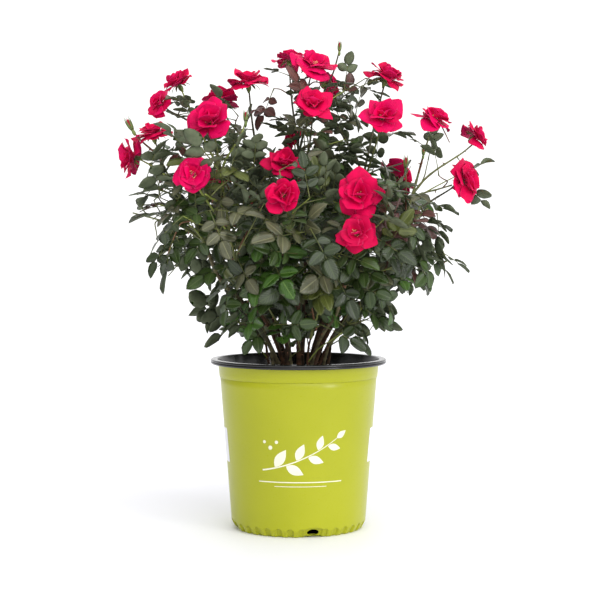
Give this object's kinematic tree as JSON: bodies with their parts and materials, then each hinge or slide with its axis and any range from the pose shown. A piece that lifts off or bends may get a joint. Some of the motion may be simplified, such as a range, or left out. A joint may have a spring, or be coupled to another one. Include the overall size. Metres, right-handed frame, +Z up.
{
  "type": "potted rose bush",
  "caption": "Flowering shrub rose in a tapered round nursery pot: upright canes from one crown, leafy shoots all round and open red blooms above them.",
  "frame": {"origin": "centre of the pot's flat underside", "axes": "+Z up along the pot's axis; -Y is the plant's front, +X its right as seen from the front"},
  "size_m": [0.5669, 0.4649, 0.705],
  "materials": {
    "pot": "smooth lime green moulded plastic, with a black lining and a black rolled rim",
    "soil": "damp dark potting mix of composted bark",
    "cane": "green to grey-brown rose bark with prickles",
    "foliage": "dark green semi-gloss leaves, maroon at the newest shoots",
    "petals": "velvety cherry red petals"
  },
  "bodies": {
    "root": {"pot": "pot", "soil": "soil", "cane_far_left": "cane", "cane_upper_left": "cane", "cane_left_front": "cane", "cane_middle_left": "cane", "cane_middle": "cane", "cane_middle_front": "cane", "cane_right_front": "cane", "cane_upper_right": "cane", "cane_far_right": "cane", "cane_back_left": "cane", "cane_back_middle": "cane", "cane_back_right": "cane", "cane_low_1": "cane", "cane_low_2": "cane", "cane_low_3": "cane", "cane_low_4": "cane", "cane_low_5": "cane", "cane_low_6": "cane", "cane_low_7": "cane", "cane_low_8": "cane", "foliage_far_left": "foliage", "foliage_upper_left": "foliage", "foliage_left_front": "foliage", "foliage_middle_left": "foliage", "foliage_middle": "foliage", "foliage_middle_front": "foliage", "foliage_right_front": "foliage", "foliage_upper_right": "foliage", "foliage_far_right": "foliage", "foliage_back_left": "foliage", "foliage_back_middle": "foliage", "foliage_back_right": "foliage", "foliage_low_1": "foliage", "foliage_low_2": "foliage", "foliage_low_3": "foliage", "foliage_low_4": "foliage", "foliage_low_5": "foliage", "foliage_low_6": "foliage", "foliage_low_7": "foliage", "foliage_low_8": "foliage"}
  },
  "joints": []
}
